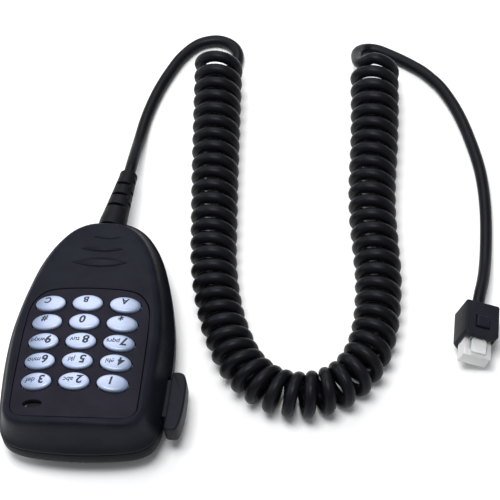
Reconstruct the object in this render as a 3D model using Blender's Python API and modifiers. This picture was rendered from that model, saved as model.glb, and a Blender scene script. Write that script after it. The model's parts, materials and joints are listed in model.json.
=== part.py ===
"""Hand microphone with a keypad, a side talk lever and a curly cord ending in a modular plug.

Blender 4.5, +Z up, metres in the scene.  The dimensions below are in millimetres and are
multiplied by MM where a mesh is made.  The handset lies face up on its hanger stud: the
surface is z = 0, the stud's lower face is centred on the origin, +Y points to the cord end
and +X to the talk lever.
"""
import math

import bmesh
import bpy
from mathutils import Vector

MM = 0.001
GAP = 0.3

# Housing
SEAM_Z = 14.0
WALL = 2.0
REAR_FACE_Z = 5.0
NEAR_END_Y = -50.0
FAR_END_Y = 59.4
HALF_OUTLINE = (
    (0.0, NEAR_END_Y), (14.0, -49.3), (24.2, -47.5), (29.9, -43.8), (32.5, -36.2),
    (33.6, -24.0), (34.0, -10.0), (33.5, 3.0), (31.9, 14.0), (29.4, 25.5),
    (25.9, 37.4), (21.1, 47.3), (15.2, 54.5), (8.2, 58.4), (0.0, FAR_END_Y),
)
OUTLINE_POINTS = 40
SPINE_NEAR_Y = -24.0
SPINE_FAR_Y = 26.0

# Face and keypad: the face slopes down to the cord end and is crowned both ways
KEYPAD_Y = -7.5
FACE_Z = 31.0
FACE_TILT = math.radians(5.0)
CROWN_ACROSS = 0.004
CROWN_ALONG = 0.001
PANEL_THICK = 1.6
PANEL_HALF_OUTLINE = (
    (0.0, -35.6), (15.0, -35.1), (21.6, -34.2), (24.4, -31.8), (25.1, -28.0), (25.2, -12.0),
    (24.9, 8.0), (23.8, 18.0), (20.5, 23.5), (15.0, 25.8), (0.0, 26.2),
)
KEY_PITCH_X = 15.2
KEY_PITCH_Y = 9.5
KEY_HALF = (6.1, 3.8)
KEYS_AT = (-0.6, -0.7)
KEY_RISE = 1.6
KEY_CAP_BOTTOM = -2.2
STEM_HALF = (2.4, 1.9)
STEM_BOTTOM = -6.0
KEY_ROWS = (("3", "2", "1"), ("6", "5", "4"), ("9", "8", "7"), ("hash", "0", "star"), ("c", "b", "a"))
MAT_TOP = -5.0
MAT_THICK = 1.0
BOARD_TOP = -7.7
BOARD_THICK = 1.6
BOARD_HALF_X = 20.5
BOARD_NEAR = -23.6
BOARD_FAR = 39.0
BOARD_UNDER = BOARD_TOP - BOARD_THICK

# Microphone behind the slot in the panel's corner
MIC_X = -16.1
MIC_Y = -29.4
MIC_SLOT_HALF = (3.9, 1.7)

# Talk lever on the right-hand side
PIVOT_X = 27.0
PIVOT_Y = -18.5
LEVER_BOTTOM = 8.0
LEVER_TOP = 17.6
WEB_BOTTOM = 11.4
WEB_TOP = 15.8
WEB_NEAR_Y = -32.0
WEB_FAR_Y = -15.5
WEB_INNER_X = 24.5
SWITCH_Y = -28.0
PLUNGER_Z = 13.6

# Fasteners and stud
CASE_SCREWS = ((-26.5, -6.0), (26.5, -6.0), (-15.0, 37.0), (15.0, 37.0))
BOARD_SCREWS = ((-10.0, 35.0), (10.0, 35.0))
STUD_R = 7.0
STUD_NECK_R = 3.5
STUD_HEAD = 2.6

# Cord
CORD_R = 2.5
COIL_R = 9.6
RELIEF_START = (1.4, 60.5, SEAM_Z)
RELIEF_TIP = (4.5, 86.0, 11.8)
RELIEF_PROFILE = (
    (-9.6, 0.0), (-9.6, 4.4), (-8.2, 4.4), (-8.2, 3.5), (0.0, 3.5), (0.0, 5.2), (5.0, 5.0),
    (5.0, 3.7), (6.6, 3.7), (6.6, 4.8), (11.0, 4.4), (11.0, 3.5), (12.6, 3.5), (12.6, 4.2),
    (17.0, 3.8), (17.0, 3.2), (18.6, 3.2), (18.6, 3.65), (24.6, 3.15),
)
MIC_LEAD = (
    (4.4, 85.4, 11.9), (4.7, 92.0, 10.5), (4.8, 101.0, 7.2), (5.0, 110.0, 4.0), (5.9, 120.5, 2.6),
    (7.7, 129.5, 2.6), (10.2, 138.4, 2.6), (13.8, 147.6, 2.6), (18.5, 156.8, 2.6),
    (25.0, 163.7, 2.6), (32.4, 166.0, 2.6), (38.3, 164.5, 2.6), (42.2, 160.8, 2.6),
    (43.5, 156.0, 2.6), (42.0, 151.6, 2.6),
)
COIL_ROUTE = (
    (36.4, 148.4, 9.65), (37.8, 125.0, 9.65), (39.2, 104.0, 9.65), (40.9, 83.0, 9.65),
    (42.6, 63.0, 9.65), (44.5, 43.5, 9.65), (48.0, 26.5, 9.65), (53.3, 10.5, 9.65),
    (61.5, -4.9, 9.65), (73.2, -14.6, 9.65), (87.0, -17.2, 9.65), (99.9, -12.4, 9.65),
    (108.3, -1.0, 9.65), (112.0, 15.0, 9.65), (112.2, 36.0, 9.65), (110.6, 52.5, 9.65),
    (108.5, 68.0, 9.65), (106.9, 84.4, 9.65), (105.8, 104.0, 9.65), (105.2, 124.0, 9.65),
    (104.9, 138.0, 9.65), (104.8, 148.5, 9.65),
)
PLUG_LEAD = (
    (96.6, 152.2, 9.2), (96.6, 157.0, 6.6), (98.4, 160.6, 4.0), (101.5, 162.0, 2.7),
    (105.2, 161.3, 2.6), (109.5, 159.3, 2.6), (114.6, 156.6, 2.6), (119.8, 153.5, 2.6),
    (125.0, 149.9, 2.6), (129.5, 145.7, 2.6),
    (133.8, 140.8, 2.6), (139.3, 131.8, 2.6), (143.4, 123.1, 2.6), (146.6, 114.7, 2.6),
    (149.4, 106.4, 2.6), (151.7, 98.2, 2.6), (153.3, 90.0, 2.6), (154.4, 81.8, 2.6),
    (155.2, 72.0, 2.6), (155.6, 60.0, 2.7), (155.6, 50.0, 3.9), (155.2, 41.0, 6.2),
    (154.2, 32.5, 8.2), (153.4, 24.9, 8.7),
)

# Modular plug, in its own frame: nose at y = 0, latch side up, cord towards +y
PLUG_AT = (153.3, 1.6, 8.7)
PLUG_ROLL = math.radians(24.0)
PLUG_HALF_X = 5.85
PLUG_TOP = 2.6
PLUG_BOTTOM = -4.0
PLUG_LONG = 16.5
BOOT_HALF_X = 7.1
BOOT_FRONT = 6.8
BOOT_BACK = 22.9
BOOT_TOP = 7.0
BOOT_BOTTOM = -6.3
LATCH_HINGE = (1.4, 3.3)
LATCH_TIP_Y = 15.0
LATCH_THICK = 0.85
CONTACTS = 8
CONTACT_PITCH = 1.02

parts = None
cutters = None
materials = {}

MATERIALS = {
    "case_plastic": ((0.014, 0.015, 0.019), 0.48, 0.0),
    "panel_plastic": ((0.030, 0.029, 0.037), 0.55, 0.0),
    "key_plastic": ((0.66, 0.74, 0.84), 0.35, 0.0),
    "silicone": ((0.50, 0.50, 0.48), 0.60, 0.0),
    "board": ((0.02, 0.16, 0.06), 0.45, 0.0),
    "chip": ((0.02, 0.02, 0.02), 0.55, 0.0),
    "steel": ((0.60, 0.60, 0.60), 0.30, 1.0),
    "brass": ((0.80, 0.58, 0.24), 0.25, 1.0),
    "rubber": ((0.016, 0.016, 0.018), 0.60, 0.0),
    "connector_plastic": ((0.75, 0.73, 0.66), 0.50, 0.0),
    "clear_plastic": ((0.85, 0.88, 0.88), 0.10, 0.0),
}


# ---------------------------------------------------------------- scene helpers

def empty_scene():
    """Remove what the file holds and make the two collections."""
    global parts, cutters
    for old in list(bpy.data.objects):
        bpy.data.objects.remove(old, do_unlink=True)
    parts = bpy.data.collections.new("hand_microphone")
    cutters = bpy.data.collections.new("hand_microphone_cutters")
    bpy.context.scene.collection.children.link(parts)
    bpy.context.scene.collection.children.link(cutters)


def make_materials():
    """One Principled material for each kind of surface."""
    for name, (colour, roughness, metallic) in MATERIALS.items():
        material = bpy.data.materials.new(name)
        material.use_nodes = True
        shader = material.node_tree.nodes["Principled BSDF"]
        shader.inputs["Base Color"].default_value = (*colour, 1.0)
        shader.inputs["Roughness"].default_value = roughness
        shader.inputs["Metallic"].default_value = metallic
        materials[name] = material


def frame_empty(name, at, rotation=(0.0, 0.0, 0.0)):
    """An empty whose axes carry the pieces parented to it."""
    empty = bpy.data.objects.new(name, None)
    empty.location = Vector(at) * MM
    empty.rotation_euler = rotation
    cutters.objects.link(empty)
    return empty


def place(name, data, material=None, frame=None, at=(0.0, 0.0, 0.0)):
    """Link a mesh or curve as a named part, or as a cutter when it has no material."""
    thing = bpy.data.objects.new(name, data)
    thing.location = Vector(at) * MM
    if frame is not None:
        thing.parent = frame
    if material is None:
        cutters.objects.link(thing)
        thing.hide_render = True
        thing.display_type = "WIRE"
    else:
        data.materials.append(materials[material])
        parts.objects.link(thing)
    return thing


def mesh_from(bm, name, smooth_angle=35.0, facing=0):
    """Turn a bmesh in millimetres into a mesh in metres with its faces pointing out.

    An open skin says which way its outside looks: facing is 1 for up and -1 for down.
    """
    bmesh.ops.scale(bm, vec=(MM, MM, MM), verts=bm.verts)
    bmesh.ops.recalc_face_normals(bm, faces=bm.faces)
    if facing:
        bm.normal_update()
        upward = sum(face.normal.z * face.calc_area() for face in bm.faces)
        if upward * facing < 0:
            bmesh.ops.reverse_faces(bm, faces=bm.faces)
    mesh = bpy.data.meshes.new(name)
    bm.to_mesh(mesh)
    bm.free()
    mesh.shade_smooth()
    mesh.set_sharp_from_angle(angle=math.radians(smooth_angle))
    return mesh


def add_modifier(thing, kind, **values):
    """Add a modifier and set its values."""
    modifier = thing.modifiers.new(kind.title(), kind)
    for key, value in values.items():
        setattr(modifier, key, value)
    return modifier


def cut(thing, cutter):
    """Take the cutter's volume away from the piece."""
    add_modifier(thing, "BOOLEAN", operation="DIFFERENCE", solver="EXACT", object=cutter)


def join(thing, cutter):
    """Add the helper's volume to the piece."""
    add_modifier(thing, "BOOLEAN", operation="UNION", solver="EXACT", object=cutter)


def bevel(thing, width, segments=2, angle=40.0):
    """Round the piece's sharp edges."""
    add_modifier(
        thing, "BEVEL", width=width * MM, segments=segments,
        limit_method="ANGLE", angle_limit=math.radians(angle),
    )


def box(name, low, high, material=None, frame=None):
    """A box between two corners."""
    bm = bmesh.new()
    size = [high[i] - low[i] for i in range(3)]
    middle = [(high[i] + low[i]) / 2 for i in range(3)]
    bmesh.ops.create_cube(bm, size=1.0)
    bmesh.ops.scale(bm, vec=size, verts=bm.verts)
    return place(name, mesh_from(bm, name), material, frame, middle)


def cylinder(name, radius, low, high, at=(0.0, 0.0), material=None, frame=None, sides=20):
    """An upright cylinder between two heights."""
    bm = bmesh.new()
    bmesh.ops.create_cone(
        bm, cap_ends=True, segments=sides, radius1=radius, radius2=radius, depth=high - low,
    )
    return place(name, mesh_from(bm, name), material, frame, (*at, (low + high) / 2))


def merged(name, pieces, sides=16):
    """A cutter made of several separate closed shapes, each a (kind, values) pair."""
    bm = bmesh.new()
    for kind, values in pieces:
        if kind == "cylinder":
            x, y, radius_x, radius_y, low, high = values
            made = bmesh.ops.create_cone(
                bm, cap_ends=True, segments=sides, radius1=1.0, radius2=1.0, depth=high - low,
            )
            bmesh.ops.scale(bm, vec=(radius_x, radius_y, 1.0), verts=made["verts"])
            bmesh.ops.translate(bm, vec=(x, y, (low + high) / 2), verts=made["verts"])
        else:
            low, high = values
            made = bmesh.ops.create_cube(bm, size=1.0)
            size = [high[i] - low[i] for i in range(3)]
            middle = [(high[i] + low[i]) / 2 for i in range(3)]
            bmesh.ops.scale(bm, vec=size, verts=made["verts"])
            bmesh.ops.translate(bm, vec=middle, verts=made["verts"])
    return place(name, mesh_from(bm, name))


def loft(name, rings, facing=0):
    """A skin over rings of equal length, closed at both ends.

    A skin that says which way it faces is open at its first ring, and its last ring has
    collapsed onto a line, where opposite points meet.
    """
    bm = bmesh.new()
    rows = [[bm.verts.new(point) for point in ring] for ring in rings]
    for lower, upper in zip(rows, rows[1:]):
        for i, vertex in enumerate(lower):
            j = (i + 1) % len(lower)
            bm.faces.new((vertex, lower[j], upper[j], upper[i]))
    if facing:
        bmesh.ops.remove_doubles(bm, verts=bm.verts, dist=0.05)
    else:
        bm.faces.new(list(reversed(rows[0])))
        bm.faces.new(rows[-1])
    return mesh_from(bm, name, facing=facing)


def extruded(name, outline, low, high, material=None, frame=None):
    """A flat outline given thickness between two heights."""
    rings = [[(x, y, z) for x, y in outline] for z in (low, high)]
    return place(name, loft(name, rings), material, frame)


def turned(name, profile, material, sides=20, frame=None, at=(0.0, 0.0, 0.0)):
    """A profile of (radius, z), top to bottom, turned round the Z axis."""
    bm = bmesh.new()
    vertices = [bm.verts.new((radius, 0.0, z)) for radius, z in profile]
    for above, below in zip(vertices, vertices[1:]):
        bm.edges.new((above, below))
    bmesh.ops.scale(bm, vec=(MM, MM, MM), verts=bm.verts)
    mesh = bpy.data.meshes.new(name)
    bm.to_mesh(mesh)
    bm.free()
    thing = place(name, mesh, material, frame, at)
    add_modifier(
        thing, "SCREW", steps=sides, render_steps=sides, use_merge_vertices=True,
        merge_threshold=0.00001, use_smooth_shade=False,
    )
    return thing


def smooth_points(route, spacing, closed=False):
    """Points along a Catmull-Rom curve through the route, about one spacing apart."""
    points = [Vector(point) for point in route]
    last = len(points) if closed else len(points) - 1
    result = []
    for i in range(last):
        if closed:
            a, b, c, d = (points[(i + k) % len(points)] for k in (-1, 0, 1, 2))
        else:
            a, b, c, d = (points[min(max(i + k, 0), last)] for k in (-1, 0, 1, 2))
        steps = max(1, round((c - b).length / spacing))
        for step in range(steps):
            t = step / steps
            result.append(
                0.5 * (2 * b + (c - a) * t + (2 * a - 5 * b + 4 * c - d) * t * t
                       + (3 * b - a - 3 * c + d) * t ** 3)
            )
    if not closed:
        result.append(points[-1])
    return result


def tube(name, points, radius, material, frame=None):
    """A round rod along the points, with filled ends."""
    curve = bpy.data.curves.new(name, "CURVE")
    curve.dimensions = "3D"
    curve.bevel_depth = radius * MM
    curve.bevel_resolution = 2
    curve.use_fill_caps = True
    spline = curve.splines.new("POLY")
    spline.points.add(len(points) - 1)
    for target, point in zip(spline.points, points):
        target.co = (*(Vector(point) * MM), 1.0)
    return place(name, curve, material, frame)


# ---------------------------------------------------------------- housing

def mirrored(half):
    """The whole closed outline of a shape given by its right half."""
    left = [(-x, y) for x, y in reversed(half[1:-1])]
    return [(x, y, 0.0) for x, y in list(half) + left]


def evenly(points, count):
    """A closed outline's points, spread evenly along its length."""
    closed = points + [points[0]]
    lengths = [0.0]
    for start, end in zip(closed, closed[1:]):
        lengths.append(lengths[-1] + (end - start).length)
    result = []
    index = 0
    for k in range(count):
        target = lengths[-1] * k / count
        while lengths[index + 1] < target:
            index += 1
        share = (target - lengths[index]) / (lengths[index + 1] - lengths[index])
        result.append(closed[index].lerp(closed[index + 1], share))
    return result


def housing_outline():
    """The housing's plan outline at the seam."""
    return evenly(smooth_points(mirrored(HALF_OUTLINE), 1.0, closed=True), OUTLINE_POINTS)


def face_height(x, y):
    """Height of the face above the surface."""
    along = y - KEYPAD_Y
    return FACE_Z - math.tan(FACE_TILT) * along - CROWN_ACROSS * x * x - CROWN_ALONG * along * along


def inward(point, inset=0.0, share=0.0):
    """A point of the outline moved towards the housing's long middle line."""
    spine = Vector((0.0, min(max(point.y, SPINE_NEAR_Y), SPINE_FAR_Y), 0.0))
    reach = (spine - point).length
    moved = point.lerp(spine, inset / reach)
    return moved.lerp(spine, share)


def front_ring(outline, inset, rise, share=0.0):
    """One ring of the front case: inset from the outline and raised towards the face."""
    ring = []
    for point in outline:
        x, y, _ = inward(point, inset, share)
        ring.append((x, y, SEAM_Z + GAP + (face_height(x, y) - SEAM_Z - GAP) * rise))
    return ring


def rear_ring(outline, inset, z, share=0.0):
    """One ring of the rear case."""
    ring = []
    for point in outline:
        x, y, _ = inward(point, inset, share)
        ring.append((x, y, z))
    return ring


def shell(name, rings, material, facing):
    """A closed wall of even thickness behind the skin of rings."""
    thing = place(name, loft(name, rings, facing), material)
    add_modifier(thing, "SOLIDIFY", thickness=WALL * MM, offset=-1.0, use_rim=True)
    return thing


def side_slot():
    """The opening in the right-hand wall that the talk lever's web passes through."""
    return box("cut_lever_slot", (28.0, -33.2, 10.9), (37.0, -14.4, 16.3))


def relief_hole():
    """The round opening at the far end that holds the strain relief's neck."""
    bm = bmesh.new()
    bmesh.ops.create_cone(bm, cap_ends=True, segments=24, radius1=4.3, radius2=4.3, depth=14.0)
    hole = place("cut_relief_hole", mesh_from(bm, "cut_relief_hole"), at=(1.0, 59.0, SEAM_Z))
    hole.rotation_euler = (math.radians(90.0), 0.0, 0.0)
    return hole


def front_case(slot, hole):
    """The upper shell with its keypad window, screw posts and lever slot."""
    outline = housing_outline()
    profile = ((0.0, 0.0), (0.0, 0.06), (1.2, 0.32), (2.4, 0.58), (3.6, 0.8), (4.9, 0.93), (7.0, 1.0))
    rings = [front_ring(outline, inset, rise) for inset, rise in profile]
    rings += [front_ring(outline, 7.0, 1.0, share) for share in (0.3, 0.65, 1.0)]
    case = shell("front_case", rings, "case_plastic", 1)
    window = extruded("cut_keypad_window", panel_outline(GAP), 24.0, 45.0)
    cut(case, window)
    posts = []
    for x, y in CASE_SCREWS:
        top = 22.3 if y < 0 else face_height(x, y) - WALL / 2
        posts.append(("cylinder", (x, y, 3.5, 3.5, SEAM_Z + GAP, top)))
    for x, along in BOARD_SCREWS:
        y, under = on_keypad(along, BOARD_TOP)
        posts.append(("cylinder", (x, y, 2.5, 2.5, under + GAP, face_height(x, y) - WALL / 2)))
    ribs = [("box", ((side - 2.0, -7.1, SEAM_Z + 0.8), (side + 2.0, -5.3, 20.0))) for side in (-29.3, 29.3)]
    join(case, merged("add_front_ribs", ribs))
    join(case, merged("add_front_posts", posts))
    pilots = [("cylinder", (x, y, 1.7, 1.7, 10.0, 20.8)) for x, y in CASE_SCREWS]
    for x, along in BOARD_SCREWS:
        y, under = on_keypad(along, BOARD_TOP)
        pilots.append(("cylinder", (x, y, 1.3, 1.3, under - 2.0, under + 3.2)))
    cut(case, merged("cut_front_pilots", pilots))
    cut(case, slot)
    cut(case, hole)


def rear_case(slot, hole):
    """The lower shell with counterbored screw bosses and the lever's pin boss."""
    outline = housing_outline()
    top = SEAM_Z - GAP
    profile = ((0.0, top), (0.0, top - 1.0), (0.0, 9.0), (0.7, 7.2), (2.2, 5.7), (4.6, REAR_FACE_Z))
    rings = [rear_ring(outline, inset, z) for inset, z in profile]
    rings += [rear_ring(outline, 4.6, REAR_FACE_Z, share) for share in (0.5, 1.0)]
    case = shell("rear_case", rings, "case_plastic", -1)
    bosses = [("cylinder", (x, y, 4.0, 4.0, REAR_FACE_Z + 1.0, SEAM_Z - GAP)) for x, y in CASE_SCREWS]
    bosses.append(("cylinder", (PIVOT_X, PIVOT_Y, 3.0, 3.0, REAR_FACE_Z + 1.0, WEB_BOTTOM - 0.5)))
    join(case, merged("add_rear_bosses", bosses))
    holes = []
    for x, y in CASE_SCREWS:
        holes.append(("cylinder", (x, y, 1.8, 1.8, 3.0, 16.0)))
    holes.append(("cylinder", (PIVOT_X, PIVOT_Y, 1.5, 1.5, 8.2, 13.0)))
    holes.append(("cylinder", (0.0, 0.0, 1.8, 1.8, 3.0, 9.0)))
    cut(case, merged("cut_rear_holes", holes))
    wells = [("cylinder", (x, y, 3.1, 3.1, 3.0, 8.6)) for x, y in CASE_SCREWS]
    cut(case, merged("cut_rear_wells", wells))
    cut(case, slot)
    cut(case, hole)


def case_screws():
    """Four pan-head screws from the back into the front case's posts."""
    for number, (x, y) in enumerate(CASE_SCREWS, start=1):
        profile = ((0.0, 20.2), (1.0, 20.2), (1.4, 19.4), (1.4, 8.9 + GAP), (1.4, 8.3), (2.7, 8.3))
        profile += ((2.7, 7.2), (2.2, 6.6), (0.0, 6.6))
        turned(f"case_screw_{number}", profile, "steel", 16, at=(x, y, 0.0))


def hanger_stud():
    """The round stud under the handset, and the screw that holds it from inside."""
    neck_top = REAR_FACE_Z - GAP
    profile = (
        (1.8, neck_top), (STUD_NECK_R, neck_top), (STUD_NECK_R, STUD_HEAD), (STUD_R - 0.4, STUD_HEAD),
        (STUD_R, STUD_HEAD - 0.5), (STUD_R, 0.5), (STUD_R - 0.4, 0.0), (0.0, 0.0),
    )
    inner = ((0.0, 1.2), (1.8, 1.2))
    turned("hanger_stud", inner + profile, "steel", 20)
    screw = ((0.0, 9.1), (2.6, 9.1), (3.0, 8.6), (3.0, 7.3), (1.5, 7.3), (1.5, 1.9), (1.1, 1.5), (0.0, 1.5))
    turned("stud_screw", screw, "steel", 16)


# ---------------------------------------------------------------- keypad and board

def on_keypad(along, depth):
    """World y and z of a point on the keypad's middle line."""
    y = KEYPAD_Y + along * math.cos(FACE_TILT) + depth * math.sin(FACE_TILT)
    z = FACE_Z - along * math.sin(FACE_TILT) + depth * math.cos(FACE_TILT)
    return y, z


def crown(x, along):
    """How far the crowned face drops below the keypad's plane."""
    return -CROWN_ACROSS * x * x - CROWN_ALONG * along * along


def panel_outline(grow=0.0):
    """The keypad panel's plan outline in world x and y, grown outwards by a clearance."""
    outline = evenly(smooth_points(mirrored(PANEL_HALF_OUTLINE), 1.0, closed=True), 36)
    middle = Vector((0.0, -4.7, 0.0))
    result = []
    for point in outline:
        away = point - middle
        moved = point + away.normalized() * grow
        result.append((moved.x, KEYPAD_Y + moved.y))
    return result


def keypad_panel(frame):
    """The thin inset panel with fifteen key openings and the microphone's slot."""
    outline = evenly(smooth_points(mirrored(PANEL_HALF_OUTLINE), 1.0, closed=True), 36)
    rings = []
    for share in (0.0, 0.3, 0.65, 1.0):
        ring = []
        for point in outline:
            middle = Vector((0.0, min(max(point.y, -16.0), 8.0), 0.0))
            x, y, _ = point.lerp(middle, share)
            ring.append((x, y, crown(x, y)))
        rings.append(ring)
    panel = place("keypad_panel", loft("keypad_panel", rings, 1), "panel_plastic", frame)
    add_modifier(panel, "SOLIDIFY", thickness=PANEL_THICK * MM, offset=-1.0, use_rim=True)
    holes = []
    for _, x, along in key_places():
        holes.append(("cylinder", (x, along, KEY_HALF[0] + 0.35, KEY_HALF[1] + 0.28, -8.0, 4.0)))
    cutter = merged("cut_key_openings", holes, sides=12)
    cutter.parent = frame
    cut(panel, cutter)
    slot = merged("cut_mic_slot", [("cylinder", (MIC_X, MIC_Y, *MIC_SLOT_HALF, -8.0, 4.0))])
    slot.parent = frame
    cut(panel, slot)


def key_places():
    """Each key's name and its place on the keypad."""
    for row, names in enumerate(KEY_ROWS):
        for column, name in enumerate(names):
            x = KEYS_AT[0] + (column - 1) * KEY_PITCH_X
            yield name, x, KEYS_AT[1] + (row - 2) * KEY_PITCH_Y


def ellipse(half_x, half_y, z, count=12):
    """A ring of points on an ellipse."""
    turns = [2 * math.pi * k / count for k in range(count)]
    return [(half_x * math.cos(turn), half_y * math.sin(turn), z) for turn in turns]


def keys(frame):
    """Fifteen domed oval keys, each on a stem that reaches down towards the board."""
    for name, x, along in key_places():
        drop = crown(x, along)
        cap_x, cap_y = KEY_HALF
        top = KEY_RISE
        rings = [
            ellipse(*STEM_HALF, STEM_BOTTOM - drop),
            ellipse(*STEM_HALF, KEY_CAP_BOTTOM),
            ellipse(cap_x, cap_y, KEY_CAP_BOTTOM),
            ellipse(cap_x, cap_y, top - 0.8),
            ellipse(cap_x - 0.7, cap_y - 0.6, top - 0.25),
            ellipse(cap_x * 0.55, cap_y * 0.55, top),
        ]
        place(f"key_{name}", loft(f"key_{name}", rings), "key_plastic", frame, (x, along, drop))


def keypad_mat(frame):
    """The silicone sheet under the keys, open round each stem."""
    low = (-22.0, -23.8, MAT_TOP - MAT_THICK)
    mat = box("keypad_mat", low, (21.5, 23.5, MAT_TOP), "silicone", frame)
    holes = [("cylinder", (x, y, 3.1, 2.6, -8.0, -2.0)) for _, x, y in key_places()]
    cutter = merged("cut_mat_holes", holes, sides=10)
    cutter.parent = frame
    cut(mat, cutter)


def circuit_board(frame):
    """The board below the keypad, with what is soldered to it."""
    low = (-BOARD_HALF_X, BOARD_NEAR, BOARD_UNDER)
    board = box("circuit_board", low, (BOARD_HALF_X, BOARD_FAR, BOARD_TOP), "board", frame)
    holes = [("cylinder", (x, y, 1.4, 1.4, -12.0, -5.0)) for x, y in BOARD_SCREWS]
    cutter = merged("cut_board_holes", holes)
    cutter.parent = frame
    cut(board, cutter)
    under = BOARD_UNDER - GAP
    box("controller_chip", (-5.0, -2.0, under - 1.5), (5.0, 8.0, under), "chip", frame)
    box("tone_encoder_chip", (-13.0, 12.0, under - 1.7), (-4.0, 18.0, under), "chip", frame)
    crystal = box("crystal", (3.0, 13.0, under - 3.2), (12.0, 17.0, under), "steel", frame)
    bevel(crystal, 1.2)
    for number, side in enumerate((-1, 1), start=1):
        x = side * KEY_PITCH_X / 2
        low = (x - 1.5, -1.0, BOARD_TOP + GAP)
        high = (x + 1.5, 1.0, BOARD_TOP + GAP + 1.0)
        box(f"backlight_led_{number}", low, high, "connector_plastic", frame)
    box("cable_header", (-5.5, 31.5, under - 2.6), (5.5, 37.5, under), "connector_plastic", frame)
    low = (-5.0, 31.8, under - 7.4)
    plugged = box("cable_connector", low, (5.0, 37.2, under - 2.6 - GAP), "connector_plastic", frame)
    bevel(plugged, 0.5)
    for number, (x, along) in enumerate(BOARD_SCREWS, start=1):
        top = BOARD_TOP + GAP + 2.4
        shank = BOARD_UNDER - GAP
        profile = ((0.0, top), (0.95, top), (0.95, shank), (2.2, shank), (2.2, shank - 1.2))
        profile += ((0.0, shank - 1.7),)
        turned(f"board_screw_{number}", profile, "steel", 16, frame, (x, along, 0.0))


def microphone(frame):
    """The electret capsule in its rubber cup, behind the panel's slot."""
    cup = ((0.0, -9.9), (4.6, -9.9), (4.6, -5.4), (5.2, -5.4), (5.2, -10.9), (0.0, -10.9))
    turned("mic_boot", cup, "rubber", 20, frame, (MIC_X, MIC_Y, 0.0))
    capsule = ((0.0, -5.0), (3.8, -5.0), (4.3, -5.4), (4.3, -9.6), (0.0, -9.6))
    turned("mic_capsule", capsule, "steel", 20, frame, (MIC_X, MIC_Y, 0.0))


# ---------------------------------------------------------------- talk lever

def talk_lever():
    """The side bar with the web that carries it on its pivot."""
    pivot = frame_empty("talk_lever_pivot", (PIVOT_X, PIVOT_Y, 0.0))
    plan = (
        (35.4, -13.6), (36.4, -12.9), (38.2, -13.1), (39.8, -14.2), (40.7, -17.0), (41.0, -22.0),
        (40.8, -29.0), (40.0, -35.0), (38.7, -38.4), (36.6, -38.9), (34.5, -38.5), (34.1, -36.8),
        (34.9, -30.0), (35.2, -22.0),
    )
    outline = [(x - PIVOT_X, y - PIVOT_Y) for x, y in reversed(plan)]
    lever = extruded("ptt_lever", outline, LEVER_BOTTOM, LEVER_TOP, "case_plastic", pivot)
    bevel(lever, 0.7, 2)
    low = (WEB_INNER_X - PIVOT_X, WEB_NEAR_Y - PIVOT_Y, WEB_BOTTOM)
    web = box("add_lever_web", low, (36.5 - PIVOT_X, WEB_FAR_Y - PIVOT_Y, WEB_TOP), None, pivot)
    join(lever, web)
    cut(lever, cylinder("cut_lever_bore", 1.6, 8.0, 20.0, frame=pivot))
    profile = ((0.0, 19.3), (1.9, 19.3), (1.9, 18.5), (1.2, 18.5), (1.2, 8.6), (0.0, 8.6))
    turned("ptt_pivot_pin", profile, "steel", 16, at=(PIVOT_X, PIVOT_Y, 0.0))
    turns = 2.5
    count = 20
    coil = []
    for k in range(count + 1):
        angle = 2 * math.pi * turns * k / count
        lift = WEB_TOP + 0.65 + 1.75 * k / count
        coil.append((PIVOT_X + 1.95 * math.cos(angle), PIVOT_Y + 1.95 * math.sin(angle), lift))
    tube("ptt_torsion_spring", coil, 0.28, "steel")


def talk_switch():
    """The side-acting switch that the lever's web presses through a plunger."""
    board_under = on_keypad(SWITCH_Y - KEYPAD_Y, BOARD_UNDER)[1]
    top = board_under - GAP - 0.6
    switch = box("ptt_switch", (13.3, SWITCH_Y - 3.1, PLUNGER_Z - 2.4), (19.3, SWITCH_Y + 3.1, top), "chip")
    bore = cylinder("cut_switch_bore", 1.6, -1.8, 1.8)
    bore.rotation_euler = (0.0, math.radians(90.0), 0.0)
    bore.location = Vector((18.8, SWITCH_Y, PLUNGER_Z)) * MM
    cut(switch, bore)
    bm = bmesh.new()
    bmesh.ops.create_cone(bm, cap_ends=True, segments=16, radius1=1.2, radius2=1.2, depth=5.9)
    middle = (21.25, SWITCH_Y, PLUNGER_Z)
    plunger = place("ptt_plunger", mesh_from(bm, "ptt_plunger"), "connector_plastic", None, middle)
    plunger.rotation_euler = (0.0, math.radians(90.0), 0.0)


# ---------------------------------------------------------------- cord

def strain_relief():
    """The ribbed tapering sleeve that leaves the housing's far end."""
    start = Vector(RELIEF_START)
    direction = (Vector(RELIEF_TIP) - start).normalized()
    profile = [(radius, -along) for along, radius in RELIEF_PROFILE]
    profile.append((0.0, -RELIEF_PROFILE[-1][0]))
    relief = turned("strain_relief", profile, "rubber", 16, None, RELIEF_START)
    relief.rotation_mode = "QUATERNION"
    relief.rotation_quaternion = Vector((0.0, 0.0, -1.0)).rotation_difference(direction)


def cords():
    """The two straight leads, the curly stretch as one fat rod, and the inner cores."""
    tube("cord_lead_mic", smooth_points(MIC_LEAD, 7.0), CORD_R, "rubber")
    tube("cord_coil", smooth_points(COIL_ROUTE, 12.0), COIL_R, "rubber")
    tube("cord_lead_plug", smooth_points(PLUG_LEAD, 9.0), CORD_R, "rubber")
    cores = ((-0.3, 50.4, 14.7), (-0.6, 45.5, 14.2), (0.0, 37.0, 12.9), (0.0, 28.4, 12.7))
    tube("core_bundle", smooth_points(cores, 4.0), 1.7, "connector_plastic")


# ---------------------------------------------------------------- plug

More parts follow.
